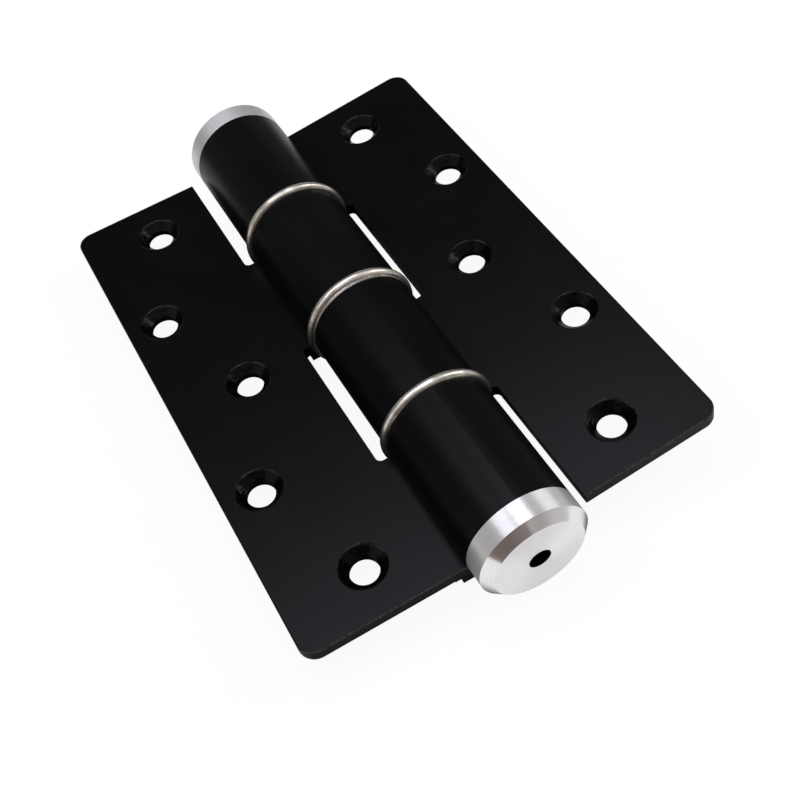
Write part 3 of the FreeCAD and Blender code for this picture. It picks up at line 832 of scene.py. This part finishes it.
lowest = cad_low[2]
paper_corners = [(PAPER_X[i], PAPER_Y[j]) for i, j in ((0, 0), (1, 0), (1, 1), (0, 1))]
floor_mesh = bpy.data.meshes.new("floor")
floor_mesh.from_pydata([(x, y, lowest) for x, y in paper_corners], [], [(0, 1, 2, 3)])
floor = bpy.data.objects.new("floor", floor_mesh)
bpy.context.collection.objects.link(floor)
print("paper", [round((b - a) / MM) for a, b in (PAPER_X, PAPER_Y)], "mm")

# %% [markdown]
# White paper
# Paper lit until it is white would need more light than the hinge can stand. So the sheet shows
# its own white to the camera and to reflections, with a share of matt paper left over for the
# hinge's shadow. Under the hinge itself the reflected white is left out, so that rings and screw
# holes see dark paper there. The camera looks through the sheet from below, so that the backs
# of the leaves can be looked at too.

# %% Paper finish
PAPER_MATT = "#ececec"
PAPER_WHITE_SHARE = 0.93
PAPER_MIRROR_SHARE = 0.75
SHADE_X = (0.042, 0.070)  # distance from the middle where the hinge's shade begins to end and has ended
SHADE_Y = (0.066, 0.073)

paper, tree = new_finish("white_paper_sweep")
spot = add(tree, "SeparateXYZ", {}, {"Vector": add(tree, "TexCoord").outputs["Object"]})
beside = add(tree, "Math", {"operation": "ABSOLUTE"}, {0: spot.outputs["X"]})
beyond = add(tree, "Math", {"operation": "ABSOLUTE"}, {0: spot.outputs["Y"]})
clear_side = add(tree, "MapRange", ramp(*SHADE_X), {"Value": beside.outputs["Value"]})
clear_end = add(tree, "MapRange", ramp(*SHADE_Y), {"Value": beyond.outputs["Value"]})
outside = {0: clear_side.outputs["Result"], 1: clear_end.outputs["Result"]}
clear = add(tree, "Math", {"operation": "MAXIMUM"}, outside)

rays = add(tree, "LightPath").outputs
reflected = {0: rays["Is Glossy Ray"], 1: rays["Is Transmission Ray"]}
shiny = add(tree, "Math", {"operation": "MAXIMUM"}, reflected)
mirrored = add(tree, "Math", {"operation": "MULTIPLY", 1: PAPER_MIRROR_SHARE}, {0: shiny.outputs["Value"]})
share = add(
    tree, "Math", {"operation": "MULTIPLY_ADD", 1: PAPER_WHITE_SHARE},
    {0: rays["Is Camera Ray"], 2: mirrored.outputs["Value"]},
)
matt = add(tree, "BsdfDiffuse", {"Color": linear(PAPER_MATT)})
lit = add(tree, "Math", {"operation": "MAXIMUM"}, {0: rays["Is Camera Ray"], 1: clear.outputs["Value"]})
white = add(tree, "Emission", {}, {"Strength": lit.outputs["Value"]})
top_side = add(
    tree, "MixShader", {},
    {0: share.outputs["Value"], 1: matt.outputs["BSDF"], 2: white.outputs["Emission"]},
)
from_below = {0: add(tree, "NewGeometry").outputs["Backfacing"], 1: rays["Is Camera Ray"]}
seen_through = add(tree, "Math", {"operation": "MULTIPLY"}, from_below)
window = add(tree, "BsdfTransparent")
sheet = add(
    tree, "MixShader", {},
    {0: seen_through.outputs["Value"], 1: top_side.outputs["Shader"], 2: window.outputs["BSDF"]},
)
add(tree, "OutputMaterial", {}, {"Surface": sheet.outputs["Shader"]})
floor_mesh.materials.append(paper)
print("made", paper.name)

# %% [markdown]
# The room
# Shiny metal shows the room that it stands in, so the room is part of the finish. Here it is a
# tent of white cloth that is open at both ends of the barrel. A painted panorama would do the
# same, but soft steps along the direction of view need no picture and can be changed one by one.

# %% Steps of the room
world = bpy.data.worlds.new("light_tent")
bpy.context.scene.world = world
world.use_nodes = True
tree = world.node_tree
tree.nodes.clear()
way = add(tree, "SeparateXYZ", {}, {"Vector": add(tree, "TexCoord").outputs["Generated"]}).outputs
lengthwise = add(tree, "Math", {"operation": "ABSOLUTE"}, {0: way["Y"]}).outputs["Value"]
sideways = add(tree, "Math", {"operation": "ABSOLUTE"}, {0: way["X"]}).outputs["Value"]
ROOM_STEPS = {  # a part of the direction of view, and where on it the step starts and ends
    "open_end": (lengthwise, 0.31, 0.55),
    "to_back": (way["Y"], -0.2, 0.2),
    "past_middle": (way["X"], 0.05, 0.14),
    "to_right": (way["X"], 0.35, 0.75),
    "front_top": (way["Z"], 0.56, 0.70),
    "back_top": (way["Z"], 0.25, 0.60),
    "back_side": (sideways, 0.50, 0.72),
}
steps = {
    name: add(tree, "MapRange", ramp(start, end), {"Value": along}).outputs["Result"]
    for name, (along, start, end) in ROOM_STEPS.items()
}
print("room of", len(steps), "soft steps")

# %% [markdown]
# The walls of the room
# In front the tent opens to a dim room that is darker on the left, and behind to a grey wall
# that is darker at the top and at the sides, because that is what the caps and rings show. Each
# step mixes one more colour in. The camera itself sees plain white.

# %% Walls of the room
TENT_CLOTH = "#f6f5f3"
FRONT_LEFT, FRONT_MIDDLE, FRONT_RIGHT, FRONT_TOP = "#72665f", "#aaa4a2", "#cac8c8", "#f0f0f0"
BACK_LOW, BACK_TOP, BACK_SIDES = "#a4a4a2", "#58595c", "#404042"

front_colours = {"data_type": "RGBA", COLOUR_A: linear(FRONT_LEFT), COLOUR_B: linear(FRONT_MIDDLE)}
front = add(tree, "Mix", front_colours, {0: steps["past_middle"]}).outputs[COLOUR_OUT]
for name, colour in (("to_right", FRONT_RIGHT), ("front_top", FRONT_TOP)):
    towards = {"data_type": "RGBA", COLOUR_B: linear(colour)}
    front = add(tree, "Mix", towards, {0: steps[name], COLOUR_A: front}).outputs[COLOUR_OUT]
back_colours = {"data_type": "RGBA", COLOUR_A: linear(BACK_LOW), COLOUR_B: linear(BACK_TOP)}
back = add(tree, "Mix", back_colours, {0: steps["back_top"]}).outputs[COLOUR_OUT]
dark_sides = {"data_type": "RGBA", COLOUR_B: linear(BACK_SIDES)}
back = add(tree, "Mix", dark_sides, {0: steps["back_side"], COLOUR_A: back}).outputs[COLOUR_OUT]

ends = add(tree, "Mix", {"data_type": "RGBA"}, {0: steps["to_back"], COLOUR_A: front, COLOUR_B: back})
cloth = {"data_type": "RGBA", COLOUR_A: linear(TENT_CLOTH)}
tent = add(tree, "Mix", cloth, {0: steps["open_end"], COLOUR_B: ends.outputs[COLOUR_OUT]})
plain_white = {"data_type": "RGBA", COLOUR_B: linear("#ffffff")}
to_camera = add(tree, "LightPath").outputs["Is Camera Ray"]
seen = add(tree, "Mix", plain_white, {0: to_camera, COLOUR_A: tent.outputs[COLOUR_OUT]})
room = add(tree, "Background", {"Strength": 1.0}, {"Color": seen.outputs[COLOUR_OUT]})
add(tree, "OutputWorld", {}, {"Surface": room.outputs["Background"]})
print("room of", len(tree.nodes), "nodes")

# %% [markdown]
# The lamps
# Four soft boxes hang about a metre away; one big lamp would wash their lights together. The one
# over the barrel gives the glow on the leaves, strongest at their near ends, and a streak along
# the barrel. The left one gives the streak beside it, also on the near cap. The right one lights
# the right side of that cap and of the rings, and glints in the countersinks. The front one lights
# the near edges of the leaves and the top of the cap's bevel. A soft box is seen as its
# brightness, so the table gives that, and the power follows from the area: each square metre of
# a flat lamp sends out pi times its brightness.

# %% Lamps
LAMPS = (  # name, place in metres, width and depth in metres, lean in degrees, brightness, colour
    ("lamp_over_barrel", (0.085, 0.308, 1.00), (0.49, 0.43), 0.0, 5.0, "#ececff"),
    ("lamp_left", (-0.60, 0.36, 1.00), (0.66, 0.62), 0.0, 3.0, "#f2f2ff"),
    ("lamp_right", (0.82, -0.15, 0.55), (0.50, 0.30), 55.0, 3.7, "#ffffff"),
    ("lamp_front", (0.05, -0.33, 1.00), (0.60, 0.30), 0.0, 2.1, "#ffffff"),
)
for name, lamp_place, (lamp_width, lamp_depth), lean, brightness, colour in LAMPS:
    lamp_data = bpy.data.lights.new(name, "AREA")
    lamp_data.shape = "RECTANGLE"
    lamp_data.size, lamp_data.size_y = lamp_width, lamp_depth
    lamp_data.color = linear(colour)[:3]
    lamp_data.energy = brightness * math.pi * lamp_width * lamp_depth
    lamp = bpy.data.objects.new(name, lamp_data)
    lamp.location = lamp_place
    lamp.rotation_euler = (0.0, math.radians(lean), 0.0)
    bpy.context.collection.objects.link(lamp)
    print(name, round(lamp_data.energy, 2), "W")
